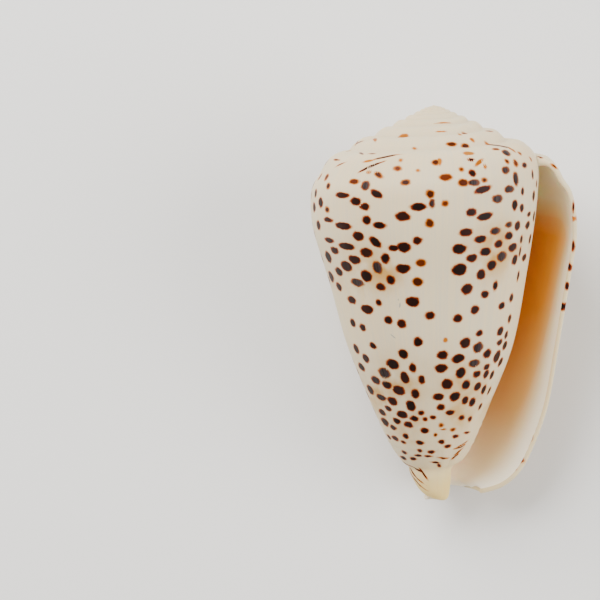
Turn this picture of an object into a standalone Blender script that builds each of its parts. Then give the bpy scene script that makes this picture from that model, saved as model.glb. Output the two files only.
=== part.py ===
"""Cone shell: one hollow, coiled solid, lying on its back with the aperture up.

Metres, +Z up.  The shell is first laid out round its own axis in millimetres, with the
tip at height 0 and the apex at the top, and is then turned into the pose it rests in.
"""
import math

import bmesh
import bpy
from mathutils import Matrix, Vector

MM = 0.001

# The coil.  A turn angle counts back from the lip, in degrees.
APEX_HEIGHT = 50.0              # length of the shell along its axis
SUTURE_RADIUS = 12.6            # where the last whorl meets the spire at the lip
SUTURE_DROP = 6.6               # how far that point lies below the apex
WHORL_RATIO = 0.70              # size of each whorl over the one outside it
SPIRE_TURNS = 7                 # whorls that can be counted on the spire
LIP_BEARING = -8.0              # bearing of the lip's edge round the axis
LIP_SET_BACK = 45.0             # how far the lip's edge curves back at the open end
SET_BACK_FROM = 0.66            # share of the outline where it starts to curve
SET_BACK_FADE = 160.0           # turn angle by which that has faded out
FLARE_ANGLE = 75.0              # angle over which the lip's flare fades out
RISER_SHARE = 0.6               # share of a whorl top's fall that lies in the step at its edge
RISER_POWER = 4.5               # how sharply that step turns down
SPIRE_TILT = 0.014              # the spire leans a little, down on the side away from the lip
TILT_FROM = 36.0
TILT_TO = 44.0
COVERED_ROWS = 5                # points of an outline that keep to the coil when covered

# Low knobs along the edge of each whorl.
KNOBS_PER_TURN = 12
KNOB_HEIGHT = 0.22
KNOB_REACH = 0.5                # how far a knob stands out, over its height
INNER_KNOBS = 0.15              # share of the full height that the innermost knobs keep

# Low swellings left by growth pauses, along the side of the last whorl.
SWELLS_PER_TURN = 12
SWELL_HEIGHT = 0.12
SWELL_TURN = 79.0               # turn angle of one of them

# The wall, the cavity and the open end.
LIP_THICKNESS = 0.55
TOP_THICKNESS = 1.30            # more thickness under the whorl's sloping top
TOP_AT_LIP = 0.25               # share of it that is there at the lip
THICK_TOP_SPANS = 2             # spans of the side over which that fades out
LIP_ROUNDING = 0.45             # how far the lip's edge stands forward, over its thickness
WALL_THICKNESS = 2.60
THICKENING_ANGLE = 180.0
CAVITY_ANGLE = 330.0            # how far the cavity goes back from the lip
NARROWING_ANGLE = 270.0         # where the cavity starts to narrow
HOLLOWING_ANGLE = 200.0         # angle by which the covered whorls have thinned to a stem
STEM_RADIUS = 2.4
NOTCH_ANGLE = 112.0             # where the open end's rim leaves the wall for the tip
TIP_ANGLE = 150.0               # where that rim reaches the tip
CAVITY_FLOOR = 0.72             # share of the outline where the cavity's far end stops
RIM_RADIUS = 5.4                # rim of the open end at the lip
RIM_SHRINK = 0.0165             # loss of radius for each degree back from the lip
RIM_HEIGHT = 0.75
RIM_RISE = 0.0050               # gain in height for each degree back from the lip

# Outlines of the last whorl, (radius, height), from the line that the next whorl would
# cover down to the end: at the lip, half a turn back and a whole turn back.
LIP_OUTLINE = [
    (15.95, 40.60), (17.00, 38.95), (17.52, 36.50), (17.60, 33.00), (16.77, 27.80), (15.52, 20.20),
    (14.20, 12.60), (12.62, 7.75), (10.76, 3.95), (8.56, 1.80), (6.10, 0.75),
]
HALF_TURN_OUTLINE = [
    (14.11, 41.80), (15.15, 40.00), (15.45, 37.80), (15.10, 34.10), (13.19, 27.80), (11.12, 20.20),
    (8.17, 12.60), (5.94, 7.60), (4.30, 5.05), (3.42, 4.25), (3.19, 3.30),
]
FULL_TURN_OUTLINE = [
    (12.60, 43.40), (12.87, 41.90), (12.84, 39.90), (12.47, 36.00), (11.50, 29.50), (9.75, 20.20),
    (6.84, 12.60), (4.75, 7.60), (3.45, 5.40), (2.05, 4.40), (1.85, 2.60),
]
NEAR_RIM = 0.6                  # place of the outline's last point but one before the rim
BEFORE_TIP_HALF_TURN = (2.00, 1.45)
BEFORE_TIP_FULL_TURN = (1.50, 0.22)
FRONT_FULLNESS = 0.55           # extra radius of the stem between those two, at the front
FULL_FROM_ROW = 8
TIP = (0.0, 0.0)

# Mesh density.
COLUMNS_PER_TURN = 48
ROWS_PER_SPAN = 2
RAMP_ROWS = 4
OPENING_ROWS = 2                # rows over which the cavity opens below the suture

# The resting pose, and the slight flat on the back that the shell lies on.
REST_BEARING = 85.75            # bearing that faces the floor
LEAN = 16.0                     # how far the apex is raised
FLOOR_DISTANCE = 6.22           # distance of the flat from the tip
FLAT_ANGLE = 40.0               # no flattening further round than this

WELD = 0.000002
CREAM = (0.66, 0.60, 0.50, 1.0)
ROUGHNESS = 0.3


def smooth_step(low, high, value):
    share = min(1.0, max(0.0, (value - low) / (high - low)))
    return share * share * (3.0 - 2.0 * share)


def mix(first, second, share):
    return tuple(a + (b - a) * share for a, b in zip(first, second))


def curve_through(points, place):
    """Point on a smooth curve through the points, where place counts them from 0."""
    last = len(points) - 1
    span = min(int(place), last - 1)
    u = place - span
    before = points[span - 1] if span > 0 else mix(points[1], points[0], 2.0)
    after = points[span + 2] if span + 2 <= last else mix(points[-2], points[-1], 2.0)
    corners = zip(before, points[span], points[span + 1], after)
    return tuple(
        0.5 * (2 * b + (c - a) * u + (2 * a - 5 * b + 4 * c - d) * u * u
               + (3 * b - a - 3 * c + d) * u ** 3)
        for a, b, c, d in corners)


def suture(turn):
    """Where the whorl at this turn meets the one above it."""
    scale = WHORL_RATIO ** (turn / 360.0)
    return (SUTURE_RADIUS * scale, APEX_HEIGHT - SUTURE_DROP * scale)


def whorl_value(at_lip, at_half, at_full, turn):
    """A steady shrink back along the whorl, and a flare that fades away from the lip."""
    left = math.exp(-180.0 / FLARE_ANGLE)
    flare = (at_lip + at_full - 2.0 * at_half) / (1.0 - left) ** 2
    shrink = at_lip - at_half - flare * (1.0 - left)
    return at_half + shrink * (180.0 - turn) / 180.0 + flare * (math.exp(-turn / FLARE_ANGLE) - left)


def end_point(turn):
    """The rim of the open end, which runs over to the tip behind the notch."""
    rim = (RIM_RADIUS - RIM_SHRINK * turn, RIM_HEIGHT + RIM_RISE * turn)
    return mix(rim, TIP, smooth_step(NOTCH_ANGLE, TIP_ANGLE, turn))


def front_fullness(turn):
    """Extra radius of the stem, which is fullest between the half and the full turn."""
    if turn < 180.0 or turn > 360.0:
        return 0.0
    return FRONT_FULLNESS * math.sin(math.radians(turn)) ** 2


def outline(turn):
    """Outline of the whorl at this turn, from the next whorl's edge to the end."""
    points = []
    for lip, half, full in zip(LIP_OUTLINE, HALF_TURN_OUTLINE, FULL_TURN_OUTLINE):
        points.append(tuple(whorl_value(a, b, c, turn) for a, b, c in zip(lip, half, full)))
    if turn >= 360.0:
        scale = WHORL_RATIO ** (turn / 360.0 - 1.0)
        for row, (radius, height) in enumerate(FULL_TURN_OUTLINE[:COVERED_ROWS]):
            coiled = (radius * scale, APEX_HEIGHT - (APEX_HEIGHT - height) * scale)
            points[row] = mix(coiled, points[row], row / COVERED_ROWS)
    for row in range(FULL_FROM_ROW + 1, len(points)):
        points[row] = (points[row][0] + front_fullness(turn), points[row][1])
    end = end_point(turn)
    near_rim = mix(points[-1], end, NEAR_RIM)
    near_tip = mix(BEFORE_TIP_HALF_TURN, BEFORE_TIP_FULL_TURN, smooth_step(180.0, 360.0, turn))
    near_tip = (near_tip[0] + front_fullness(turn), near_tip[1])
    points.append(mix(near_rim, near_tip, smooth_step(NOTCH_ANGLE, TIP_ANGLE, turn)))
    points.append(end)
    return points


def knob(turn, share):
    """Height of the knobs at this turn, across a whorl's sloping top."""
    ripple = 0.5 - 0.5 * math.cos(math.radians(turn * KNOBS_PER_TURN))
    size = min(1.0, suture(turn)[0] / SUTURE_RADIUS + INNER_KNOBS)
    return KNOB_HEIGHT * size * ripple * math.sin(math.pi * share) ** 2


def ramp(turn, rows):
    """The sloping top of a whorl, from its suture to the edge of the next whorl."""
    inner = suture(turn)
    outer = outline(turn)[0] if turn < 360.0 else suture(turn - 360.0)
    points = []
    for row in range(rows + 1):
        share = row / rows
        lift = knob(turn, share)
        radius = inner[0] + (outer[0] - inner[0]) * share + KNOB_REACH * lift
        fall = (1.0 - RISER_SHARE) * share + RISER_SHARE * share ** RISER_POWER
        height = inner[1] + (outer[1] - inner[1]) * fall + lift
        points.append((radius, height))
    return points


def body_shares():
    """Where the rows of the side lie along an outline.  The first row spans the suture's wall."""
    spans = len(LIP_OUTLINE) + 1
    rows = (spans - 1) * ROWS_PER_SPAN
    return [0.0] + [(1.0 + row / ROWS_PER_SPAN) / spans for row in range(rows + 1)]


def swell(turn, share):
    """Height of the growth swellings, which fade towards both ends of the side."""
    wave = 0.5 + 0.5 * math.cos(math.radians((turn - SWELL_TURN) * SWELLS_PER_TURN))
    return SWELL_HEIGHT * wave * math.sin(math.pi * share) ** 2


def flattened(turn, radius, height):
    """The radius at this height, kept above the floor that the shell lies on."""
    around = math.radians((LIP_BEARING + turn - REST_BEARING + 180.0) % 360.0 - 180.0)
    if abs(around) > math.radians(FLAT_ANGLE):
        return radius
    lean = math.radians(LEAN)
    return min(radius, (FLOOR_DISTANCE + height * math.sin(lean)) / (math.cos(lean) * math.cos(around)))


def body(turn, reach=1.0):
    """The side of the whorl, down to the given share of its outline."""
    points = outline(turn)
    spans = len(points) - 1
    side = []
    for share in body_shares():
        radius, height = curve_through(points, spans * share * reach)
        side.append((flattened(turn, radius + swell(turn, share), height), height))
    return side


def core(turn):
    """The covered whorl, which is the cavity's inner side, without its first row."""
    reach = 1.0 - (1.0 - CAVITY_FLOOR) * smooth_step(TIP_ANGLE, CAVITY_ANGLE, turn)
    thinned = smooth_step(0.0, HOLLOWING_ANGLE, turn)
    return [mix(point, (min(point[0], STEM_RADIUS), point[1]), thinned)
            for point in body(360.0 + turn, reach)[1:]]


def chain(turn):
    return ramp(turn, RAMP_ROWS) + body(turn)[1:]


def inside(turn):
    """Inner face of the outer wall, with as many points as the chain outside it."""
    outside = chain(turn)
    last = len(outside) - 1
    covered = core(turn)
    covered = [covered[0]] * (len(outside) - len(covered)) + covered
    grown = smooth_step(0.0, THICKENING_ANGLE, turn)
    thickness = LIP_THICKNESS + (WALL_THICKNESS - LIP_THICKNESS) * grown
    width = 1.0 - smooth_step(NARROWING_ANGLE, CAVITY_ANGLE, turn)
    top_thickness = TOP_THICKNESS * (TOP_AT_LIP + (1.0 - TOP_AT_LIP) * grown)
    thick_rows = RAMP_ROWS + THICK_TOP_SPANS * ROWS_PER_SPAN
    points = []
    for row, (radius, height) in enumerate(outside):
        ahead = outside[min(row + 1, last)]
        behind = outside[max(row - 1, 0)]
        along = math.hypot(ahead[0] - behind[0], ahead[1] - behind[1])
        to_end = math.hypot(radius - outside[-1][0], height - outside[-1][1])
        wall = thickness * math.sqrt(1.0 - (1.0 - min(1.0, to_end / thickness)) ** 2)
        wall += top_thickness * (1.0 - smooth_step(0.0, 1.0, row / thick_rows))
        offset = (radius + wall * (ahead[1] - behind[1]) / along,
                  height - wall * (ahead[0] - behind[0]) / along)
        points.append(mix(covered[row], offset, width * min(1.0, row / OPENING_ROWS)))
    points[-1] = outside[-1] if turn < TIP_ANGLE else covered[-1]
    return points


def lay(point, turn):
    """Millimetres in the axial plane to a place round the axis."""
    radius, height = point
    bearing = math.radians(LIP_BEARING + turn)
    across = radius * math.cos(bearing)
    raised = SPIRE_TILT * across * smooth_step(TILT_FROM, TILT_TO, height)
    return Vector((across, radius * math.sin(bearing), height + raised)) * MM


def lay_side(points, turn):
    """The same for a whorl's side, whose lip curves back towards the open end."""
    shares = body_shares()
    shares = [0.0] * (len(points) - len(shares)) + shares
    fade = max(0.0, 1.0 - max(0.0, turn) / SET_BACK_FADE) ** 2
    places = []
    for point, share in zip(points, shares):
        curved = max(0.0, (share - SET_BACK_FROM) / (1.0 - SET_BACK_FROM)) ** 2
        places.append(lay(point, turn + LIP_SET_BACK * curved * fade))
    return places


def add_sheet(mesh, columns):
    """A grid whose columns are the given lists of places."""
    across = len(columns)
    down = len(columns[0])
    grid = bmesh.ops.create_grid(mesh, x_segments=across - 1, y_segments=down - 1, size=1.0)
    for corner in grid["verts"]:
        column = round((corner.co.x + 1.0) * 0.5 * (across - 1))
        row = round((corner.co.y + 1.0) * 0.5 * (down - 1))
        corner.co = columns[column][row]


def lip_edge():
    """The lip's edge: its outer line, its middle rounded forward and its inner line."""
    outer = lay_side(chain(0.0), 0.0)
    inner = lay_side(inside(0.0), 0.0)
    behind = lay_side(chain(1.0), 1.0)
    last = len(outer) - 1
    middle = []
    for row, (first, second, third) in enumerate(zip(outer, inner, behind)):
        along = (outer[min(row + 1, last)] - outer[max(row - 1, 0)]).normalized()
        forward = first - third
        forward = (forward - along * forward.dot(along)).normalized()
        middle.append((first + second) / 2.0 + forward * (first - second).length * LIP_ROUNDING)
    return [outer, middle, inner]


def shell_mesh():
    """The whole skin of the shell round its own axis, closed."""
    step = 360.0 / COLUMNS_PER_TURN
    whorl = [step * i for i in range(COLUMNS_PER_TURN + 1)]
    hollow = [step * i for i in range(int(CAVITY_ANGLE / step) + 1)]
    spire = [step * i for i in range(COLUMNS_PER_TURN * SPIRE_TURNS + 1)]
    mesh = bmesh.new()
    add_sheet(mesh, [[lay(p, t) for p in ramp(t, RAMP_ROWS)] for t in spire])
    add_sheet(mesh, [lay_side(body(t), t) for t in whorl])
    add_sheet(mesh, [[lay(p, t) for p in core(t)] for t in hollow])
    add_sheet(mesh, [lay_side(inside(t), t) for t in hollow])
    add_sheet(mesh, lip_edge())
    bmesh.ops.remove_doubles(mesh, verts=mesh.verts, dist=WELD)
    open_edges = [edge for edge in mesh.edges if edge.is_boundary]
    caps = bmesh.ops.holes_fill(mesh, edges=open_edges, sides=0)["faces"]
    wide = [face for face in caps if len(face.verts) > 3]
    apex = bmesh.ops.poke(mesh, faces=wide)["verts"][0]
    apex.co = (0.0, 0.0, APEX_HEIGHT * MM)
    bmesh.ops.dissolve_degenerate(mesh, dist=WELD, edges=mesh.edges)
    bmesh.ops.triangulate(mesh, faces=mesh.faces)
    bmesh.ops.recalc_face_normals(mesh, faces=mesh.faces)
    if mesh.calc_volume(signed=True) < 0.0:
        bmesh.ops.reverse_faces(mesh, faces=mesh.faces)
    return mesh


def rest_pose(mesh):
    """Lay the shell on its back and put the middle of its underside box at the origin."""
    turned = (Matrix.Rotation(math.radians(LEAN), 4, "X") @ Matrix.Rotation(math.radians(-90.0), 4, "X")
              @ Matrix.Rotation(math.radians(90.0 - REST_BEARING), 4, "Z"))
    bmesh.ops.transform(mesh, matrix=turned, verts=mesh.verts)
    low = [min(corner.co[axis] for corner in mesh.verts) for axis in range(3)]
    high = [max(corner.co[axis] for corner in mesh.verts) for axis in range(3)]
    move = Vector((-(low[0] + high[0]) / 2.0, -(low[1] + high[1]) / 2.0, -low[2]))
    bmesh.ops.translate(mesh, vec=move, verts=mesh.verts)


def shell_material():
    material = bpy.data.materials.new("polished shell")
    material.use_nodes = True
    surface = material.node_tree.nodes["Principled BSDF"]
    surface.inputs["Base Color"].default_value = CREAM
    surface.inputs["Roughness"].default_value = ROUGHNESS
    surface.inputs["Metallic"].default_value = 0.0
    return material


def make_shell(collection):
    mesh = shell_mesh()
    rest_pose(mesh)
    data = bpy.data.meshes.new("shell")
    mesh.to_mesh(data)
    mesh.free()
    data.shade_smooth()
    data.materials.append(shell_material())
    shell = bpy.data.objects.new("shell", data)
    collection.objects.link(shell)
    return shell


def main():
    for old in list(bpy.data.objects):
        bpy.data.objects.remove(old, do_unlink=True)
    parts = bpy.data.collections.new("cone_shell")
    bpy.context.scene.collection.children.link(parts)
    make_shell(parts)


if __name__ == "__main__":
    main()
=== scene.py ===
# Spotted cone shell lying on its back, aperture up.  Units are metres; the coil is laid out in millimetres.
import math

import bmesh
import bpy
import numpy as np
from mathutils import Matrix, Vector, noise


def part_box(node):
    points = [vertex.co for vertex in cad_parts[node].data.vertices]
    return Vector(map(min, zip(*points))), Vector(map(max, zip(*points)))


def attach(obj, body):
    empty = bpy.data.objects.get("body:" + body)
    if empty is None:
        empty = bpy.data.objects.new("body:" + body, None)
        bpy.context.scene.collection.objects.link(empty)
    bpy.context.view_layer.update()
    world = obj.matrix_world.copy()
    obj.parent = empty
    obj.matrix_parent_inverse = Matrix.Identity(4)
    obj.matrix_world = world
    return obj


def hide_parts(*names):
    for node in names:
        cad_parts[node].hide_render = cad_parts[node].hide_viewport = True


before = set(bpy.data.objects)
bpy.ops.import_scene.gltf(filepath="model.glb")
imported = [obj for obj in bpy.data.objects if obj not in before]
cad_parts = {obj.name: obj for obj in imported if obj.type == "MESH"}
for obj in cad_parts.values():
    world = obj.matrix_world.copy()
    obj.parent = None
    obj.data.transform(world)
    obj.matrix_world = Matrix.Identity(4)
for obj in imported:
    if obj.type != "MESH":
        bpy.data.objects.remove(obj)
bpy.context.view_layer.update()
mm = 0.001

# The coil.  A turn angle counts back from the lip, in degrees.  Outlines are (radius, height) in mm.
coil = {
    "apexHeight": 50.0, "sutureRadius": 12.6, "sutureDrop": 6.6, "whorlRatio": 0.70, "spireTurns": 8,
    "lipBearing": -8.0, "lipSetBack": 45.0, "setBackFrom": 0.66, "setBackFade": 160.0, "flareAngle": 75.0,
    "riserShare": 0.6, "riserPower": 4.5, "spireTilt": 0.014, "tiltFrom": 36.0, "tiltTo": 44.0,
    "coveredRows": 5, "knobsPerTurn": 12, "knobHeight": 0.22, "knobReach": 0.5, "innerKnobs": 0.15,
    "swellsPerTurn": 12, "swellHeight": 0.12, "swellTurn": 79.0,
    "lipThickness": 0.55, "lipRounding": 0.45, "wallThickness": 2.6, "thickeningAngle": 180.0,
    "topThickness": 1.30, "topAtLip": 0.25, "rampThinning": 0.5, "sideThinning": 0.2,
    "cavityAngle": 330.0, "narrowingAngle": 270.0, "hollowingAngle": 200.0, "stemRadius": 2.4,
    "notchAngle": 112.0, "tipAngle": 150.0, "cavityFloor": 0.72,
    "rimRadius": 5.4, "rimShrink": 0.0165, "rimHeight": 0.75, "rimRise": 0.0050,
    "lipOutline": [
        (15.95, 40.60), (17.00, 38.95), (17.52, 36.50), (17.60, 33.00), (16.77, 27.80), (15.52, 20.20),
        (14.20, 12.60), (12.62, 7.75), (10.76, 3.95), (8.56, 1.80), (6.10, 0.75)],
    "halfTurnOutline": [
        (14.11, 41.80), (15.15, 40.00), (15.45, 37.80), (15.10, 34.10), (13.19, 27.80), (11.12, 20.20),
        (8.17, 12.60), (5.94, 7.60), (4.30, 5.05), (3.42, 4.25), (3.19, 3.30)],
    "fullTurnOutline": [
        (12.60, 43.40), (12.87, 41.90), (12.84, 39.90), (12.47, 36.00), (11.50, 29.50), (9.75, 20.20),
        (6.84, 12.60), (4.75, 7.60), (3.45, 5.40), (2.05, 4.40), (1.85, 2.60)],
    "beforeTipHalfTurn": (2.00, 1.45), "beforeTipFullTurn": (1.50, 0.22), "beforeEnd": 0.6,
    "frontFullness": 0.55, "fullFromRow": 8,
    "columnStep": 1.2, "hiddenStep": 4.0, "mergeDistance": 0.002, "rowsPerSpan": 10, "rampRows": 6, "lipRows": 5,
    "lean": 16.0, "restBearing": 85.75, "floorDistance": 6.22, "flatAngle": 40.0,
}

# Relief too fine for the CAD solid, in mm.
relief = {
    "growthHeight": 0.030, "growthPerDegree": 0.42, "growthDown": 2.5,    # growth lines down the side
    "pauseHeight": 0.045, "pausePerDegree": 0.075, "pauseDown": 0.8,      # swelling between growth pauses
    "fadeTop": 0.12, "fadeFoot": (0.86, 0.98),                            # shares of the side that stay smooth
    "threadHeight": 0.055, "threadSpacing": 1.05,                         # spiral threads above the open end
    "threadFoot": (4.5, 8.0), "threadTop": (7.8, 13.0),
    "cordHeight": 0.045, "cordsPerRamp": 3.0,                             # cords on the whorls' sloping tops
    "sutureDepth": 0.10, "sutureWidth": 0.2, "sutureEdge": 1.0 / 6.0, "apexRounding": 0.2,
}


def smoothStep(low, high, value):
    share = min(1.0, max(0.0, (value - low) / (high - low)))
    return share * share * (3.0 - 2.0 * share)


def mix(first, second, share):
    return tuple(a + (b - a) * share for a, b in zip(first, second))


def curveThrough(points, place):       # smooth curve through the points; place counts them from 0
    last = len(points) - 1
    span = min(int(place), last - 1)
    u = place - span
    before = points[span - 1] if span > 0 else mix(points[1], points[0], 2.0)
    after = points[span + 2] if span + 2 <= last else mix(points[-2], points[-1], 2.0)
    return tuple(
        0.5 * (2 * b + (c - a) * u + (2 * a - 5 * b + 4 * c - d) * u * u + (3 * b - a - 3 * c + d) * u ** 3)
        for a, b, c, d in zip(before, points[span], points[span + 1], after))


def suture(turn):                      # where a whorl meets the one above it
    scale = coil["whorlRatio"] ** (turn / 360.0)
    return (coil["sutureRadius"] * scale, coil["apexHeight"] - coil["sutureDrop"] * scale)


def whorlValue(atLip, atHalf, atFull, turn):      # steady shrink back along the whorl, and a flare at the lip
    left = math.exp(-180.0 / coil["flareAngle"])
    flare = (atLip + atFull - 2.0 * atHalf) / (1.0 - left) ** 2
    shrink = atLip - atHalf - flare * (1.0 - left)
    return atHalf + shrink * (180.0 - turn) / 180.0 + flare * (math.exp(-turn / coil["flareAngle"]) - left)


def endPoint(turn):                    # rim of the open end, which runs over to the tip behind the notch
    rim = (coil["rimRadius"] - coil["rimShrink"] * turn, coil["rimHeight"] + coil["rimRise"] * turn)
    return mix(rim, (0.0, 0.0), smoothStep(coil["notchAngle"], coil["tipAngle"], turn))


def frontFullness(turn):
    if turn < 180.0 or turn > 360.0:
        return 0.0
    return coil["frontFullness"] * math.sin(math.radians(turn)) ** 2


def outlineAt(turn):
    rows = zip(coil["lipOutline"], coil["halfTurnOutline"], coil["fullTurnOutline"])
    points = [tuple(whorlValue(a, b, c, turn) for a, b, c in zip(*row)) for row in rows]
    if turn >= 360.0:
        scale = coil["whorlRatio"] ** (turn / 360.0 - 1.0)
        for row in range(coil["coveredRows"]):
            radius, height = coil["fullTurnOutline"][row]
            coiled = (radius * scale, coil["apexHeight"] - (coil["apexHeight"] - height) * scale)
            points[row] = mix(coiled, points[row], row / coil["coveredRows"])
    for row in range(coil["fullFromRow"] + 1, len(points)):
        points[row] = (points[row][0] + frontFullness(turn), points[row][1])
    end = endPoint(turn)
    nearTip = mix(coil["beforeTipHalfTurn"], coil["beforeTipFullTurn"], smoothStep(180.0, 360.0, turn))
    nearTip = (nearTip[0] + frontFullness(turn), nearTip[1])
    gone = smoothStep(coil["notchAngle"], coil["tipAngle"], turn)
    return points + [mix(mix(points[-1], end, coil["beforeEnd"]), nearTip, gone), end]


def knobAt(turn, share):               # low knobs along the edge of a whorl's top
    ripple = 0.5 - 0.5 * math.cos(math.radians(turn * coil["knobsPerTurn"]))
    size = min(1.0, suture(turn)[0] / coil["sutureRadius"] + coil["innerKnobs"])
    return coil["knobHeight"] * size * ripple * math.sin(math.pi * share) ** 2


def rampAt(turn, rows):                # sloping top of a whorl, from its suture to the next whorl's edge
    inner = suture(turn)
    outer = outlineAt(turn)[0] if turn < 360.0 else suture(turn - 360.0)
    size = suture(turn)[0] / coil["sutureRadius"]
    points = []
    for row in range(rows + 1):
        share = row / rows
        lift = knobAt(turn, share)
        cord = relief["cordHeight"] * size * math.sin(2.0 * math.pi * relief["cordsPerRamp"] * share)
        fine = cord * math.sin(math.pi * share)
        groove = max(0.0, 1.0 - share / relief["sutureWidth"]) ** 2
        groove *= math.sin(math.pi * min(1.0, share / relief["sutureEdge"]))
        fine -= relief["sutureDepth"] * size * groove
        fall = (1.0 - coil["riserShare"]) * share + coil["riserShare"] * share ** coil["riserPower"]
        points.append((inner[0] + (outer[0] - inner[0]) * share + coil["knobReach"] * lift,
                       inner[1] + (outer[1] - inner[1]) * fall + lift + fine))
    return points


def bodyShares():
    rows = (len(coil["lipOutline"]) + 1) * coil["rowsPerSpan"]
    return [row / rows for row in range(rows + 1)]


def sideRelief(turn, share, height):   # growth swellings, growth lines and the spiral threads at the base
    wave = 0.5 + 0.5 * math.cos(math.radians((turn - coil["swellTurn"]) * coil["swellsPerTurn"]))
    lift = coil["swellHeight"] * wave * math.sin(math.pi * share) ** 2
    ends = smoothStep(0.0, relief["fadeTop"], share) * (1.0 - smoothStep(*relief["fadeFoot"], share))
    lines = noise.noise((turn * relief["growthPerDegree"], share * relief["growthDown"], 3.0))
    pauses = noise.noise((turn * relief["pausePerDegree"], share * relief["pauseDown"], 8.0))
    lift += ends * (relief["growthHeight"] * lines + relief["pauseHeight"] * pauses)
    band = smoothStep(*relief["threadFoot"], height) * (1.0 - smoothStep(*relief["threadTop"], height))
    lift += ends * band * relief["threadHeight"] * math.sin(2.0 * math.pi * height / relief["threadSpacing"])
    return lift


def flattened(turn, radius, height):   # kept above the floor that the shell lies on
    around = math.radians((coil["lipBearing"] + turn - coil["restBearing"] + 180.0) % 360.0 - 180.0)
    if abs(around) > math.radians(coil["flatAngle"]):
        return radius
    lean = math.radians(coil["lean"])
    return min(radius, (coil["floorDistance"] + height * math.sin(lean)) / (math.cos(lean) * math.cos(around)))


def bodyAt(turn, reach=1.0):
    points = outlineAt(turn)
    spans = len(points) - 1
    side = []
    for share in bodyShares():
        radius, height = curveThrough(points, spans * share * reach)
        side.append((flattened(turn, radius + sideRelief(turn, share, height), height), height))
    return side


def coreAt(turn):                      # the covered whorl, which is the cavity's inner side
    reach = 1.0 - (1.0 - coil["cavityFloor"]) * smoothStep(coil["tipAngle"], coil["cavityAngle"], turn)
    thinned = smoothStep(0.0, coil["hollowingAngle"], turn)
    return [mix(point, (min(point[0], coil["stemRadius"]), point[1]), thinned)
            for point in bodyAt(360.0 + turn, reach)[coil["rowsPerSpan"]:]]


def chainAt(turn):
    return rampAt(turn, coil["rampRows"]) + bodyAt(turn)[1:]


def insideAt(turn):                    # inner face of the outer wall, with a point for each on the outside
    outside = chainAt(turn)
    last = len(outside) - 1
    covered = coreAt(turn)
    covered = [covered[0]] * (len(outside) - len(covered)) + covered
    grown = smoothStep(0.0, coil["thickeningAngle"], turn)
    thickness = coil["lipThickness"] + (coil["wallThickness"] - coil["lipThickness"]) * grown
    topThickness = coil["topThickness"] * (coil["topAtLip"] + (1.0 - coil["topAtLip"]) * grown)
    width = 1.0 - smoothStep(coil["narrowingAngle"], coil["cavityAngle"], turn)
    points = []
    for row, (radius, height) in enumerate(outside):
        ahead = outside[min(row + 1, last)]
        behind = outside[max(row - 1, 0)]
        along = math.hypot(ahead[0] - behind[0], ahead[1] - behind[1])
        toEnd = math.hypot(radius - outside[-1][0], height - outside[-1][1])
        wall = thickness * math.sqrt(1.0 - (1.0 - min(1.0, toEnd / thickness)) ** 2)
        rampShare = min(1.0, row / coil["rampRows"])
        past = max(0.0, (row - coil["rampRows"]) / coil["rowsPerSpan"])
        thinned = coil["rampThinning"] * rampShare + coil["sideThinning"] * past
        wall += topThickness * (1.0 - smoothStep(0.0, 1.0, thinned))
        offset = (radius + wall * (ahead[1] - behind[1]) / along,
                  height - wall * (ahead[0] - behind[0]) / along)
        points.append(mix(covered[row], offset, width * min(1.0, 2.0 * row / coil["rampRows"])))
    points[-1] = outside[-1] if turn < coil["tipAngle"] else covered[-1]
    return points


def lay(point, turn):                  # mm in the axial plane to a place round the axis
    bearing = math.radians(coil["lipBearing"] + turn)
    across = point[0] * math.cos(bearing)
    raised = coil["spireTilt"] * across * smoothStep(coil["tiltFrom"], coil["tiltTo"], point[1])
    return Vector((across, point[0] * math.sin(bearing), point[1] + raised))


def laySide(points, turn):             # the same for a whorl's side, whose lip curves back to the open end
    shares = bodyShares()
    shares = [0.0] * (len(points) - len(shares)) + shares
    fade = max(0.0, 1.0 - max(0.0, turn) / coil["setBackFade"]) ** 2
    places = []
    for point, share in zip(points, shares):
        curved = max(0.0, (share - coil["setBackFrom"]) / (1.0 - coil["setBackFrom"])) ** 2
        places.append(lay(point, turn + coil["lipSetBack"] * curved * fade))
    return places


def addSheet(bm, columns, sheetLayer, sheet, turnLayer, turns):     # a grid laid on columns of places
    across = len(columns)
    down = len(columns[0])
    grid = bmesh.ops.create_grid(bm, x_segments=across - 1, y_segments=down - 1, size=1.0)
    for vert in grid["verts"]:
        column = round((vert.co.x + 1.0) * 0.5 * (across - 1))
        row = round((vert.co.y + 1.0) * 0.5 * (down - 1))
        vert.co = columns[column][row]
        vert[turnLayer] = turns[column]
        for face in vert.link_faces:
            face[sheetLayer] = sheet


def lipEdge():                         # the lip's edge, rounded forward from its outer to its inner line
    outer = laySide(chainAt(0.0), 0.0)
    inner = laySide(insideAt(0.0), 0.0)
    behind = laySide(chainAt(1.0), 1.0)
    last = len(outer) - 1
    columns = []
    for step in range(coil["lipRows"] + 1):
        angle = math.pi * step / coil["lipRows"]
        column = []
        for row in range(last + 1):
            along = (outer[min(row + 1, last)] - outer[max(row - 1, 0)]).normalized()
            forward = outer[row] - behind[row]
            forward = (forward - along * forward.dot(along)).normalized()
            across = outer[row] - inner[row]
            column.append((outer[row] + inner[row]) / 2.0 + across * 0.5 * math.cos(angle)
                          + forward * across.length * coil["lipRounding"] * math.sin(angle))
        columns.append(column)
    columns[0] = outer
    columns[-1] = inner
    return columns


sheets = {"ramp": 0, "side": 1, "core": 2, "inside": 3, "lip": 4}


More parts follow.
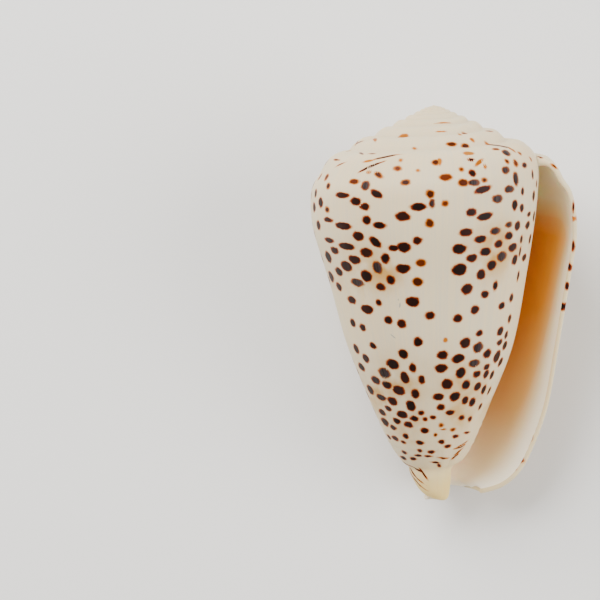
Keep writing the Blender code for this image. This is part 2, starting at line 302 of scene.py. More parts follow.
def shellMesh():
    step = coil["columnStep"]
    whorl = [step * i for i in range(round(360.0 / step) + 1)]
    shown = [step * i for i in range(round(coil["tipAngle"] / step))]
    hiddenCount = round((coil["cavityAngle"] - coil["tipAngle"]) / coil["hiddenStep"])
    hollow = shown + [coil["tipAngle"] + coil["hiddenStep"] * i for i in range(hiddenCount + 1)]
    spire = [step * i for i in range(round(360.0 / step) * coil["spireTurns"] + 1)]
    bm = bmesh.new()
    sheetLayer = bm.faces.layers.int.new("sheet")
    turnLayer = bm.verts.layers.float.new("turn")
    addSheet(bm, [[lay(p, t) for p in rampAt(t, coil["rampRows"])] for t in spire], sheetLayer, sheets["ramp"],
             turnLayer, spire)
    addSheet(bm, [laySide(bodyAt(t), t) for t in whorl], sheetLayer, sheets["side"], turnLayer, whorl)
    addSheet(bm, [[lay(p, t) for p in coreAt(t)] for t in hollow], sheetLayer, sheets["core"],
             turnLayer, hollow)
    addSheet(bm, [laySide(insideAt(t), t) for t in hollow], sheetLayer, sheets["inside"], turnLayer, hollow)
    edge = lipEdge()
    addSheet(bm, edge, sheetLayer, sheets["lip"], turnLayer, [0.0] * len(edge))
    bmesh.ops.remove_doubles(bm, verts=bm.verts, dist=coil["mergeDistance"])
    holes = [edge for edge in bm.edges if edge.is_boundary]
    caps = bmesh.ops.holes_fill(bm, edges=holes, sides=0)["faces"]
    wide = [face for face in caps if len(face.verts) > 4]
    apex = bmesh.ops.poke(bm, faces=wide)["verts"][0]
    apex.co = (0.0, 0.0, coil["apexHeight"] - relief["apexRounding"])
    bmesh.ops.dissolve_degenerate(bm, dist=coil["mergeDistance"], edges=bm.edges)
    bmesh.ops.triangulate(bm, faces=bm.faces)
    bmesh.ops.recalc_face_normals(bm, faces=bm.faces)
    if bm.calc_volume(signed=True) < 0.0:
        bmesh.ops.reverse_faces(bm, faces=bm.faces)
    bm.normal_update()
    return bm


# The marks: (across, up, width, height, kind, slant) in mm and degrees, as seen from the front
# with the aperture showing, and from the back.  The apex leans a little towards the viewer in both.
marks = {
    "viewTilt": 7.5, "viewDistance": 284.0, "grown": 1.05,
    "frontBearing": -90.0, "frontMiddle": (-16.9, 25.2), "backBearing": 117.0, "backMiddle": (0.0, 25.2),
    # Two colours that the marks of a kind lie between, how grey their far side is, how red their rim is, and
    # how strongly the rim shows.
    "kinds": {"orange": ("#924e04", "#a8680a", 0.0, 0.0, 1.0), "red": ("#300e02", "#5c2203", 0.0, 0.25, 1.0),
              "dark": ("#180a06", "#280f08", 0.0, 1.0, 1.0), "streaked": ("#1c0f0a", "#2a1811", 0.55, 0.8, 1.0),
              "grey": ("#1c0f0b", "#261712", 1.0, 0.7, 1.0), "scratch": ("#9c968a", "#a8a294", 0.0, 0.0, 0.0)},
    "front": [
        (2.6, 45, 1.12, 0.5, "red"), (4.3, 44.7, 0.87, 0.6, "red"), (4.2, 46.3, 0.5, 0.2, "dark"),
        (5.2, 45.5, 0.35, 0.35, "orange"), (4.7, 43.8, 1.1, 0.45, "orange"), (5.1, 43, 0.75, 0.32, "dark"),
        (6, 42.6, 1.25, 0.37, "orange", 35), (3.8, 41.8, 0.5, 0.5, "red"), (6.8, 42.2, 0.3, 0.4, "orange"),
        (-3.5, 46, 0.87, 0.27, "orange", 10), (-7.7, 42.3, 2.5, 0.3, "dark", 28),
        (-5.7, 43.5, 2.25, 0.25, "red", 27), (-7.9, 43, 1, 0.27, "orange", 15),
        (-7.9, 41.6, 0.45, 0.35, "orange"), (-12, 43.2, 0.5, 0.17, "red"),
        (-11.5, 42.6, 0.65, 0.17, "red", 25), (-7.5, 43.9, 0.6, 0.12, "red"), (-8.9, 44, 0.5, 0.1, "grey"),
        (-13.3, 41, 0.3, 0.65, "red", -20), (-13.1, 39.9, 0.4, 0.62, "red", -20), (-4.3, 42, 0.8, 0.55, "red"),
        (-6.7, 41.2, 1.12, 0.6, "red", -25), (0.5, 42.7, 0.85, 0.55, "red"), (1, 42.8, 0.5, 0.6, "orange"),
        (-1.7, 41.7, 0.3, 0.25, "orange"), (-9.8, 40.4, 1.12, 0.6, "red"), (-8.4, 39.9, 0.95, 1, "grey"),
        (-3.3, 40.2, 0.95, 0.65, "red"), (1.8, 40.8, 1.5, 0.8, "red"), (5.2, 41.3, 0.75, 0.8, "dark"),
        (4, 40.1, 1.2, 0.85, "red"), (5.3, 40.1, 1.4, 0.75, "grey"), (6.7, 40.4, 0.62, 0.5, "red"),
        (6.5, 39.2, 2, 0.8, "dark", 15), (9.4, 41.6, 0.9, 0.85, "grey"), (8.6, 44.7, 0.4, 1.1, "red", 30),
        (8.2, 44.3, 0.65, 0.25, "red"), (9.5, 43.8, 0.8, 0.75, "grey"), (10.1, 44.3, 0.3, 0.6, "orange"),
        (11.2, 43.7, 0.3, 0.3, "red"), (9.6, 42.7, 0.45, 0.5, "red"), (10.7, 42.5, 0.55, 0.8, "red"),
        (11.8, 42.2, 0.6, 0.6, "dark"), (10.7, 40.5, 0.65, 1.55, "grey"), (9.8, 39.2, 1.15, 0.85, "grey"),
        (11.5, 38.9, 0.35, 0.9, "dark"), (12.8, 41, 0.25, 0.9, "dark"), (13.3, 39.8, 0.2, 0.75, "dark"),
        (12.9, 38.3, 0.4, 1, "dark"), (8.3, 38, 1.3, 0.95, "grey"), (10.5, 37.2, 0.7, 1.15, "dark"),
        (11.4, 36.8, 0.5, 0.9, "dark"), (12.3, 36, 0.5, 0.6, "dark"), (12.9, 35.7, 0.3, 1.1, "dark"),
        (-11.4, 38.7, 1.45, 0.7, "dark"), (-9.7, 37.9, 1.2, 0.9, "dark"), (-7, 38.8, 1.45, 0.85, "dark", -25),
        (-8.5, 37.2, 1.05, 0.85, "dark"), (-14.1, 37.8, 0.4, 1.2, "dark"), (-14.7, 39, 0.25, 0.85, "dark"),
        (-14.9, 37.2, 0.35, 1.1, "dark"), (-13.3, 36.9, 0.45, 0.65, "red"), (-13.2, 35.6, 0.9, 0.6, "dark"),
        (-0.2, 38.7, 0.95, 0.95, "red"), (-0, 37.5, 0.65, 1, "grey"), (1.7, 37.5, 0.75, 0.65, "red"),
        (-1.7, 37.1, 1.85, 0.9, "dark"), (-3.7, 35.9, 1.7, 1.1, "dark"), (-0.3, 35, 0.95, 0.95, "red"),
        (-8.3, 35.5, 0.95, 1, "dark"), (-11.3, 34.8, 1.8, 0.85, "dark"), (-6.7, 34.8, 1.45, 0.8, "dark"),
        (-14.4, 34.9, 0.45, 1.05, "dark"), (5, 36.3, 1.2, 0.95, "dark"), (6.7, 35.8, 1.8, 0.9, "dark", 10),
        (4.3, 33.8, 1.5, 0.9, "dark"), (8, 33.9, 1.25, 0.85, "grey"), (9.7, 34.7, 0.8, 0.65, "grey"),
        (10.8, 34.5, 0.7, 1.05, "dark"), (12.1, 34.6, 0.6, 0.9, "dark"), (-9.4, 33.5, 1.25, 1.1, "dark"),
        (-13.1, 33, 0.85, 0.65, "dark"), (6.1, 32.9, 1.5, 0.85, "dark"), (8.4, 32.3, 0.95, 0.9, "dark"),
        (9.7, 33.3, 0.95, 0.95, "dark"), (11.3, 32.8, 0.35, 0.9, "dark"), (12.4, 32.9, 0.3, 0.95, "dark"),
        (-7.2, 32.7, 1.4, 0.95, "dark", -35), (-8.4, 31.4, 1.35, 1.1, "dark"), (-3.6, 32, 1.6, 1.15, "dark"),
        (-4.9, 31.9, 1.25, 0.65, "dark"), (-1.9, 32.8, 1.1, 0.85, "dark"), (3.4, 31.7, 1.7, 1.15, "dark"),
        (10.2, 31.8, 1, 0.95, "dark"), (5, 30.5, 1.2, 0.9, "dark"), (6.7, 31.3, 1.35, 0.95, "dark"),
        (8.8, 30.7, 1.15, 1.15, "grey"), (11.1, 31.3, 0.25, 1.1, "dark"), (-10.9, 32.2, 1.75, 0.85, "dark"),
        (-12.4, 31.7, 0.9, 0.85, "dark"), (-13.2, 30.9, 0.6, 1.35, "dark"), (-9.9, 30.5, 1.35, 1, "dark"),
        (-10.9, 29.7, 1.2, 1.2, "dark"), (-6, 30.6, 1.05, 1.15, "dark"), (-7, 29.5, 1.1, 1.4, "grey"),
        (-8.4, 28.4, 1.25, 1.4, "dark"), (-3.8, 29.3, 1.65, 1.05, "dark"), (-1.5, 30, 1.15, 0.85, "red"),
        (3.4, 29.1, 1.7, 1.45, "dark"), (6.1, 28.4, 1.1, 1.15, "dark"), (7.5, 29.6, 1.15, 1.1, "dark"),
        (10.4, 30.2, 0.65, 1.1, "dark"), (11.6, 30.5, 0.5, 0.8, "dark"), (-11.9, 29, 0.75, 0.95, "dark"),
        (-12.9, 28.4, 0.5, 1.25, "dark"), (-9.6, 27.6, 1.35, 0.95, "grey"), (-5.3, 27.9, 1, 1, "dark"),
        (-6.6, 27, 1.05, 0.9, "dark"), (-1.9, 27.6, 1.25, 0.95, "red"), (-11.9, 27.1, 0.55, 0.9, "dark"),
        (4.3, 26.6, 1.4, 1.2, "dark"), (7.9, 27, 0.6, 1.1, "dark"), (10.8, 28.2, 0.3, 1.1, "dark"),
        (6.6, 25.9, 0.95, 0.9, "dark"), (17.9, 36.8, 0.2, 1.1, "dark"), (17.7, 35.4, 0.3, 0.55, "orange"),
        (17.8, 31.9, 0.25, 1.1, "dark"), (17.3, 29.3, 0.4, 0.8, "dark"), (17, 26.8, 0.45, 0.85, "dark"),
        (15.6, 42, 0.65, 0.22, "red", -42), (13.4, 43.7, 0.4, 0.17, "red", -20),
        (12.6, 43, 0.2, 0.35, "red", -30), (13.8, 43.2, 0.35, 0.15, "dark", -30),
        (1.5, 47.7, 1.15, 0.12, "orange"), (1.3, 46.6, 0.7, 0.12, "orange"), (7.4, 46.6, 0.65, 0.25, "red", 5),
        (3.6, 46.2, 0.3, 0.22, "orange"), (-7.1, 45.7, 0.6, 0.15, "orange"),
        (-9.2, 45.3, 0.4, 0.17, "dark", 30), (-2.1, 44.5, 0.25, 0.17, "orange"),
        (-3.9, 43, 0.3, 0.25, "orange"), (-10.3, 25.4, 0.95, 0.9, "dark"), (-6.9, 25, 0.62, 0.75, "dark"),
        (-8.4, 24.2, 1.37, 1.05, "dark"), (-2.6, 25.1, 1.55, 1.15, "dark"), (9.9, 25.4, 0.5, 1, "dark"),
        (5.3, 24, 0.95, 1.05, "dark"), (8.7, 24.4, 0.7, 0.8, "dark"), (-0.4, 23.3, 1.12, 0.95, "dark"),
        (3.1, 22.9, 1, 0.95, "dark"), (-5.7, 22.8, 0.9, 0.9, "dark"), (-4, 22.3, 0.95, 1, "dark"),
        (-10.2, 22.5, 0.55, 0.95, "dark"), (-9, 21.9, 0.65, 0.87, "dark"), (9.7, 22.8, 0.45, 0.95, "dark"),
        (-2, 20, 1.05, 1.05, "dark"), (1.5, 20.2, 0.35, 0.35, "orange"), (5.8, 21, 0.7, 0.7, "dark"),
        (8.5, 21.2, 0.6, 1.05, "dark"), (9.2, 20.7, 0.35, 0.87, "dark"), (-7.7, 19.6, 0.7, 0.7, "dark"),
        (-9.8, 19.2, 0.6, 1.05, "dark"), (4, 19.8, 1.15, 1.3, "dark"), (5.6, 19.2, 1.12, 1.2, "grey"),
        (8.4, 19.8, 0.6, 0.7, "dark"), (9, 19.4, 0.45, 1, "dark"), (6.8, 18.4, 0.95, 1.05, "dark"),
        (8, 18, 0.75, 1.45, "dark"), (-3.9, 18.5, 1.1, 1.1, "dark"), (-8.6, 18, 0.65, 1.05, "dark"),
        (1.1, 18.3, 1.3, 1, "dark"), (3.1, 17.8, 1.45, 1.05, "dark"), (5.1, 17.2, 1.2, 0.9, "grey"),
        (-5.2, 17.2, 1.45, 1.15, "dark"), (-2.7, 16.7, 0.8, 1.1, "dark"), (0.9, 16.6, 1.5, 1, "dark"),
        (-9.2, 16.9, 0.6, 0.95, "dark"), (6.7, 16.7, 0.75, 0.75, "dark"), (8.4, 17.3, 0.45, 0.95, "dark"),
        (-6.3, 16.1, 1.3, 1.3, "grey"), (-3.7, 15.5, 1, 1.4, "dark"), (3.4, 16, 1.1, 1.25, "dark"),
        (5.4, 15.8, 0.85, 0.8, "dark"), (6.6, 15.8, 0.6, 0.95, "dark"), (7.3, 15.7, 0.5, 1, "dark"),
        (-1.6, 15.2, 0.75, 0.95, "dark"), (-7.4, 15.2, 0.8, 1, "dark"), (-6, 14.6, 1.05, 0.85, "dark"),
        (1.6, 14.6, 1.3, 1.25, "dark"), (4, 14.5, 0.95, 1.15, "dark"), (5.5, 14.2, 0.8, 1, "dark"),
        (6.3, 13.9, 0.6, 1.05, "dark"), (7, 13.7, 0.3, 0.95, "dark"), (-4.5, 13.9, 1.3, 1.2, "dark"),
        (-8.1, 14, 0.7, 1.1, "dark"), (-2.4, 13.4, 0.95, 1.15, "dark"), (0.5, 13, 1.25, 0.8, "dark"),
        (2.6, 13, 1.2, 1.15, "dark"), (3.9, 12.5, 0.75, 0.9, "dark"), (4.8, 12.3, 0.7, 0.95, "dark"),
        (-6.7, 13, 0.85, 0.8, "dark"), (-5.3, 12.5, 1.1, 0.95, "dark"), (-3, 11.9, 1.05, 1.35, "dark"),
        (0.8, 11.7, 0.85, 0.7, "dark"), (-5.9, 11.6, 0.65, 0.65, "dark"), (5.8, 11.7, 0.35, 0.7, "dark"),
        (2, 11, 1, 0.6, "dark"), (-1.7, 11, 0.7, 0.55, "dark"), (-4.1, 10.8, 1.15, 0.9, "dark"),
        (-6.6, 11.1, 0.8, 0.75, "dark"), (-2.6, 10.3, 0.95, 0.65, "dark"), (-0.2, 10.4, 0.65, 0.45, "dark"),
        (-1.2, 10.2, 0.45, 0.45, "dark"), (3.4, 10.3, 0.65, 0.6, "dark"), (4.5, 10.2, 0.45, 0.65, "dark"),
        (-4.8, 10, 0.85, 0.75, "dark"), (-6.3, 9.9, 0.7, 0.95, "dark"), (-3.3, 9.5, 0.85, 0.7, "dark"),
        (-5.3, 9.2, 0.6, 0.6, "dark"), (0.8, 9.4, 0.5, 0.5, "red"), (1, 8.9, 0.5, 0.2, "red"),
        (-1.3, 8.7, 0.9, 0.65, "dark"), (2.3, 8.8, 0.5, 0.4, "red"), (0.1, 8.2, 0.3, 0.3, "red"),
        (4.1, 8.4, 0.6, 0.3, "dark"), (2.6, 8, 0.6, 0.4, "dark"), (-3.7, 8.1, 0.55, 0.65, "dark"),
        (-5, 7.8, 0.75, 0.6, "dark"), (-5.8, 8, 0.35, 0.5, "dark"), (-4, 7.3, 0.55, 0.35, "dark"),
        (0.8, 7.3, 0.65, 0.5, "dark"), (-1.9, 7.2, 0.8, 0.5, "dark"), (1.6, 6.7, 0.65, 0.4, "dark"),
        (-1.9, 6.2, 0.45, 0.35, "dark"), (-0.5, 6, 0.65, 0.4, "dark"), (-3.9, 6, 0.55, 0.45, "dark"),
        (-2.1, 5.6, 0.65, 0.25, "dark"), (-0.9, 5.5, 0.85, 0.25, "dark"), (-2.8, 5.2, 0.65, 0.35, "dark"),
        (-4, 5.3, 0.7, 0.45, "dark"), (-2.4, 3.9, 1.3, 0.22, "dark", -22), (-1.5, 3.3, 1.2, 0.25, "dark", -52),
        (-2.9, 3.5, 1.5, 0.25, "red", -35), (-2.7, 2.7, 1.3, 0.22, "red", -40),
        (0, 4.7, 0.95, 0.22, "dark", -18), (0.5, 4.3, 0.6, 0.25, "dark", -68),
        (1, 5.2, 1.05, 0.22, "red", -15), (2.5, 5.4, 0.95, 0.2, "red", 58), (3, 6, 1, 0.2, "red", 40),
        (3.2, 6.6, 1.25, 0.22, "red", 14), (3.6, 7, 0.85, 0.17, "red", 25), (-3.6, 4.5, 1, 0.17, "red", -20),
        (16.3, 24.3, 0.25, 0.85, "dark"), (14.5, 18.2, 0.2, 0.65, "dark"), (12, 7.7, 0.35, 0.85, "dark"),
        (10.7, 4.9, 0.75, 0.75, "dark"), (9.8, 3.8, 0.55, 0.4, "dark"), (-5.2, 20.8, 1, 0.22, "scratch", -40),
        (-4.4, 25.4, 0.22, 0.45, "scratch"), (-4.2, 24.7, 0.2, 0.75, "scratch", -12),
    ],
    "back": [
        (-7.1, 46.1, 0.9, 0.23, "red", 12), (-5.8, 46.8, 0.45, 0.18, "orange"),
        (-3, 46.4, 0.45, 0.14, "orange"), (-1.7, 45.8, 0.56, 0.23, "orange"), (-7.3, 45.2, 1.8, 0.14, "red"),
        (-6.2, 45, 0.56, 0.11, "orange"), (-4.7, 44.8, 0.45, 0.09, "orange"), (-2.3, 44.7, 1.13, 0.18, "grey"),
        (-0.1, 44.8, 0.68, 0.14, "grey"), (1.7, 44.8, 1.24, 0.23, "dark", 5),
        (-10.3, 44.1, 0.9, 0.27, "grey", 30), (-10.9, 43.6, 0.68, 0.18, "red", 35),
        (-7.9, 43.8, 1.35, 0.36, "red", 25), (-5.8, 43.7, 1.13, 0.32, "red", 15),
        (-5.6, 43.1, 0.9, 0.32, "orange", 50), (-2.3, 43.7, 0.79, 0.34, "red", 15),
        (1.3, 43.7, 0.95, 0.45, "red", 10), (4.3, 44.1, 0.63, 0.27, "red", -10),
        (7.6, 44.4, 0.45, 0.32, "red", -35), (9.1, 45.3, 0.79, 0.2, "red", -25),
        (10.4, 44.1, 0.36, 0.18, "red"), (-12.9, 43, 0.79, 0.25, "grey", 15),
        (-12.4, 42.2, 0.68, 0.23, "grey", 20), (-11.1, 42.5, 0.27, 0.32, "red"),
        (-10.5, 42, 0.59, 0.27, "red"), (-7.6, 42.3, 0.77, 0.59, "red"), (-9.1, 41.7, 0.45, 0.11, "orange"),
        (-14.2, 41.4, 1.13, 0.27, "red", 30), (-15.1, 40.7, 0.68, 0.25, "dark", 45),
        (-12.7, 40.7, 0.95, 0.2, "red", 3), (-12.9, 40.3, 0.86, 0.25, "orange", 30),
        (-8.7, 40.4, 1.53, 0.59, "red", 20), (-5.5, 41, 3.38, 0.32, "red", 26),
        (-6, 41.2, 1.35, 0.32, "red", 15), (-7, 39.8, 0.63, 1.04, "grey"),
        (-8.9, 38.9, 1.89, 0.54, "dark", 55), (-8, 37.6, 1.4, 0.63, "grey", 60),
        (-2.2, 40.1, 0.95, 0.5, "red", 55), (-4.8, 38.9, 0.86, 0.59, "red", 35),
        (-6.6, 36.7, 0.95, 0.63, "red", 20), (-3.5, 37.9, 0.95, 0.86, "red"), (-0.8, 42.1, 0.68, 0.25, "red"),
        (-0.2, 42, 0.32, 0.32, "red"), (2, 42.1, 0.54, 0.36, "red"), (1.4, 42.1, 0.68, 0.18, "grey"),
        (1.7, 40.2, 1.58, 0.45, "red", 45), (3.2, 40.4, 1.13, 0.59, "red", 25),
        (0.3, 39.3, 0.63, 0.5, "red", 20), (-0.7, 38.8, 0.45, 0.45, "orange"),
        (3.2, 39.1, 1.17, 0.59, "red", 10), (4.4, 42.7, 0.56, 0.14, "red"), (5.3, 42.6, 0.99, 0.09, "orange"),
        (7, 42, 0.81, 0.25, "orange", 50), (8.5, 40.8, 0.54, 0.72, "red"), (9.5, 41.2, 0.34, 0.23, "orange"),
        (10.6, 42.5, 0.81, 0.27, "red", -45), (12, 42, 1.13, 0.59, "grey", -40),
        (12.6, 42.5, 0.27, 0.68, "red", -15), (14, 40.8, 0.23, 0.63, "red"), (12.9, 40, 0.63, 0.5, "red"),
        (12.3, 39.1, 0.68, 0.68, "grey"), (11.3, 38.2, 1.13, 0.77, "dark"), (13.9, 39.5, 0.36, 0.9, "dark"),
        (13.6, 38.2, 0.5, 0.9, "dark"), (14.5, 38.3, 0.18, 0.86, "dark"), (14.3, 36.4, 0.27, 0.86, "dark"),
        (13.2, 36.5, 0.54, 0.81, "dark"), (7.8, 38.6, 1.04, 0.9, "dark"), (6.1, 37.5, 1.4, 0.9, "streaked"),
        (9.5, 36.5, 0.95, 1.04, "dark"), (1.6, 37.5, 0.99, 1.35, "red"), (-1.2, 36.6, 0.99, 0.72, "red"),
        (-0.2, 36.5, 0.54, 0.54, "grey"), (-1.5, 35.5, 0.81, 0.59, "red", 15), (-2.9, 35, 1.22, 0.95, "dark"),
        (3.4, 35.8, 1.17, 1.22, "dark"), (7.8, 35, 1.22, 1.22, "dark"), (8.6, 34.9, 0.99, 0.9, "grey"),
        (10.7, 35, 0.68, 0.86, "red"), (-9.3, 36.1, 1.35, 1.04, "grey"), (-8, 34.9, 0.86, 1.04, "dark"),
        (-14.6, 35.8, 1.13, 0.9, "dark"), (-13.1, 35.2, 1.04, 0.54, "red"), (-13, 37.7, 0.63, 0.72, "red"),
        (-14, 38.9, 0.54, 0.63, "red"), (-15.7, 38.6, 0.45, 0.77, "red"), (-16.3, 39.4, 0.36, 0.77, "grey"),
        (-16.8, 37.8, 0.36, 0.77, "dark"), (-16, 37.6, 0.36, 0.59, "red"), (-17.2, 36.2, 0.23, 1.13, "dark"),
        (-16.4, 35.9, 0.59, 0.63, "red"), (-16.4, 34.5, 0.54, 0.54, "red"), (-17, 33.1, 0.27, 0.81, "dark"),
        (-16.1, 32.3, 0.72, 1.26, "dark", -15), (-16.8, 31.4, 0.23, 0.81, "dark"),
        (-9.4, 33.5, 1.44, 1.13, "grey"), (-11.2, 32.5, 1.49, 0.86, "dark"), (-6, 33.5, 0.9, 0.9, "dark"),
        (-6.7, 33.2, 0.9, 0.68, "red"), (2.1, 33.7, 1.13, 0.99, "dark"), (6.7, 33.2, 1.58, 0.86, "red"),
        (9.1, 32.9, 0.99, 1.31, "dark"), (10.4, 32.5, 0.81, 0.77, "red"), (13.3, 34.6, 0.5, 1.13, "dark"),
        (13.8, 34, 0.5, 0.99, "dark"), (14.2, 33.3, 0.23, 0.86, "dark"),
        (-12.7, 31.9, 1.22, 0.81, "dark", -20), (-8, 31.6, 0.95, 1.08, "grey"),
        (-9.3, 30.8, 1.31, 1.08, "dark"), (-4, 31.8, 1.22, 1.04, "dark"), (-2, 31.1, 1.31, 0.99, "dark"),
        (1, 32.2, 1.35, 1.04, "dark"), (3.6, 32, 1.31, 1.04, "dark"), (8, 31, 1.53, 1.35, "dark"),
        (12.8, 31.8, 0.72, 0.9, "dark"), (13.5, 31.7, 0.45, 0.99, "dark"),
        (10.2, 30.2, 0.99, 0.77, "streaked", 15), (11.5, 30.2, 0.99, 0.77, "dark"),
        (12.6, 30.2, 0.72, 0.95, "dark"), (13.4, 30.2, 0.32, 0.86, "dark"), (-13.7, 30.4, 0.77, 0.81, "dark"),
        (-14.6, 29.6, 0.68, 1.26, "dark", -20), (-15.6, 29.2, 0.5, 0.95, "dark"),
        (-16, 28.6, 0.45, 1.22, "dark"), (-7.3, 29.9, 0.86, 0.77, "dark"), (-6.4, 30, 0.86, 0.81, "dark"),
        (0.3, 29.6, 1.62, 0.9, "dark"), (3.8, 29.6, 1.22, 0.99, "streaked", 20),
        (8.7, 28.8, 1.17, 1.13, "grey"), (11.2, 28.8, 1.26, 0.9, "dark", 20), (12.6, 28.9, 0.5, 0.99, "dark"),
        (9.6, 27.5, 1.04, 0.99, "streaked"), (11.7, 27.6, 0.72, 1.22, "dark"),
        (12.6, 27.5, 0.41, 0.99, "dark"), (-2.1, 28.6, 1.4, 0.9, "dark"), (2.2, 28.3, 1.71, 1.22, "streaked"),
        (-8.1, 28.3, 1.4, 1.4, "grey"), (-10, 27.7, 1.44, 0.99, "dark"), (-11.9, 27.3, 1.31, 0.99, "dark"),
        (-14.8, 27.1, 0.86, 1.17, "dark"), (-15.3, 26.3, 0.45, 0.95, "dark"), (-6.2, 27.3, 1.58, 0.86, "dark"),
        (-4.9, 27.6, 1.08, 0.99, "dark"), (0.2, 27.2, 1.71, 0.81, "dark"),
        (4.6, 27.5, 1.98, 0.9, "streaked", 15), (-8.1, 26.1, 1.53, 1.31, "grey"),
        (-2.7, 26.4, 1.76, 0.86, "dark"), (0.2, 26.1, 1.71, 0.72, "dark"), (2.5, 26, 1.67, 1.53, "streaked"),
        (8.1, 26, 1.13, 1.08, "streaked"), (9.9, 25.9, 0.95, 1.4, "dark"), (10.8, 25.5, 0.5, 0.63, "red"),
        (-10.2, 25.3, 1.49, 1.4, "dark"), (-6.5, 25, 0.95, 1.17, "dark"), (-4.2, 24.7, 1.08, 1.08, "dark"),
        (-4.9, 24.6, 1.58, 0.63, "dark"), (-8.4, 24.1, 1.49, 1.22, "grey"), (-1, 24.1, 1.89, 0.99, "dark"),
        (1.4, 23.4, 1.4, 0.95, "dark"), (4.1, 24.8, 1.04, 0.99, "streaked"), (6.4, 24.1, 0.81, 0.72, "red"),
        (7.8, 22.4, 0.68, 0.86, "orange"), (4.9, 22.5, 1.49, 0.95, "red", 15),
        (10.5, 24, 0.68, 1.31, "dark", 25), (11, 23.2, 0.45, 1.17, "dark"), (9.3, 20.9, 0.59, 1.08, "dark"),
        (10.1, 20.9, 0.45, 0.95, "red"), (-13.1, 24.4, 0.54, 1.08, "dark", -20),
        (-13.8, 24, 0.77, 1.35, "dark", -20), (-14.6, 23.7, 0.27, 0.95, "dark"),
        (-6.8, 23.1, 1.31, 0.99, "dark"), (-9.8, 22.9, 1.35, 1.08, "dark"), (-4.9, 22.6, 1.53, 0.86, "dark"),
        (-13, 21.6, 0.77, 1.13, "dark"), (-14.4, 21.7, 0.27, 1.17, "dark"), (-2.1, 21.4, 0.99, 1.04, "dark"),
        (2.6, 21.1, 1.4, 1.17, "dark"), (-6.8, 20.9, 1.31, 0.99, "dark"), (-4.3, 20.4, 1.67, 0.9, "dark"),
        (-9.6, 20.2, 1.26, 0.86, "dark"), (4.3, 19.6, 0.95, 1.04, "dark"), (6.3, 19.2, 0.81, 0.72, "red"),
        (10, 19, 0.32, 0.77, "red"), (-12.2, 18.7, 0.72, 1.08, "dark"), (-12.8, 18.2, 0.27, 0.81, "dark"),
        (-1.4, 18.4, 1.08, 1.08, "dark"), (2.3, 18.4, 0.86, 0.86, "dark"), (-5.8, 18.1, 1.08, 1.04, "dark"),
        (-4, 17.4, 0.9, 0.9, "dark"), (-10, 17.8, 0.72, 0.99, "dark"), (8.1, 17.1, 0.54, 1.08, "dark"),
        (9.5, 17.1, 0.36, 0.86, "dark"), (4.2, 16.4, 0.81, 1.13, "dark"), (8.6, 15.7, 0.59, 0.99, "dark"),
        (9.3, 15.9, 0.32, 0.68, "dark"), (6.2, 15.3, 1.08, 0.95, "streaked"), (-8.2, 15.1, 0.95, 0.81, "dark"),
        (-1.1, 15, 0.77, 0.77, "red"), (-11.1, 15, 0.72, 0.95, "dark"), (-12.4, 15.3, 0.27, 0.77, "dark"),
        (1.8, 14.6, 1.31, 1.22, "dark"), (7.4, 14.5, 0.68, 0.95, "dark"), (8.3, 14.3, 0.59, 1.13, "dark"),
        (-5.7, 14, 1.62, 0.95, "dark", -50), (3.6, 13.8, 1.04, 1.22, "streaked"),
        (6.2, 13.4, 0.9, 0.9, "dark"), (-2.8, 13.5, 0.81, 0.95, "dark"), (-11.3, 13.1, 0.27, 0.9, "dark"),
        (-11.7, 12.5, 0.36, 0.9, "dark"), (-6.8, 12.5, 1.08, 1.4, "grey"), (-3.7, 12.3, 0.86, 1.08, "grey"),
        (-10.2, 12, 0.77, 1.08, "dark"), (-0.4, 12.3, 1.04, 1.04, "dark"), (2, 12.4, 1.13, 1.31, "dark"),
        (7.3, 12.9, 0.72, 1.04, "dark"), (8.1, 13, 0.36, 0.99, "dark"), (3.3, 11.8, 1.17, 0.9, "dark"),
        (5.8, 11.8, 0.95, 0.77, "dark"), (6.9, 11.6, 0.5, 0.9, "dark"), (-5, 11.4, 1.17, 1.35, "grey"),
        (-8, 11.1, 0.86, 1.08, "dark"), (-2, 11.1, 0.72, 1.04, "dark"), (-3.4, 11.4, 0.32, 0.45, "red"),
        (-10.7, 10.8, 0.63, 1.58, "dark"), (0.9, 10.5, 1.22, 0.86, "dark"), (3, 10.5, 1.13, 0.77, "dark"),
        (5.7, 10.5, 0.77, 0.86, "dark"), (7, 10.8, 0.5, 0.95, "dark"), (-6, 9.9, 1.08, 1.35, "grey"),
        (-3.3, 10.2, 0.72, 0.81, "dark"), (-9.7, 9.7, 0.45, 0.95, "dark"), (-0.8, 9.6, 1.13, 0.86, "dark"),
        (1.4, 9.3, 1.17, 0.9, "dark", 20), (4.4, 9.4, 0.9, 0.68, "dark"), (5.9, 9.4, 0.63, 0.86, "dark"),
        (-4.3, 9.1, 1.22, 1.13, "dark"), (-8, 9, 0.99, 0.95, "dark"), (-10.7, 9.6, 0.32, 0.99, "dark"),
        (-9.8, 8.6, 0.5, 0.95, "dark"), (-2.5, 8.6, 0.9, 0.77, "dark"), (2.6, 8.5, 0.81, 0.72, "dark"),
        (0.1, 8, 0.9, 0.72, "dark"), (4.7, 8, 1.22, 0.59, "streaked"), (5.5, 7.5, 0.27, 0.63, "dark"),
        (-6.3, 8.1, 1.04, 0.86, "dark"), (-4.6, 7.4, 1.08, 0.86, "dark"), (-8.6, 7.4, 0.45, 0.72, "dark"),
        (-9.3, 7.2, 0.5, 0.63, "red"), (1.6, 7.2, 0.77, 0.72, "dark"), (2.9, 7.2, 0.5, 0.36, "red"),
        (-3, 6.9, 0.99, 1.04, "grey"), (-6.7, 6.7, 0.99, 0.95, "dark"), (-1.4, 6.5, 0.59, 0.45, "dark"),
        (-0.4, 6.2, 0.63, 0.41, "red"), (0.6, 6.1, 0.63, 0.41, "red"), (3.7, 6.4, 0.36, 0.23, "red"),
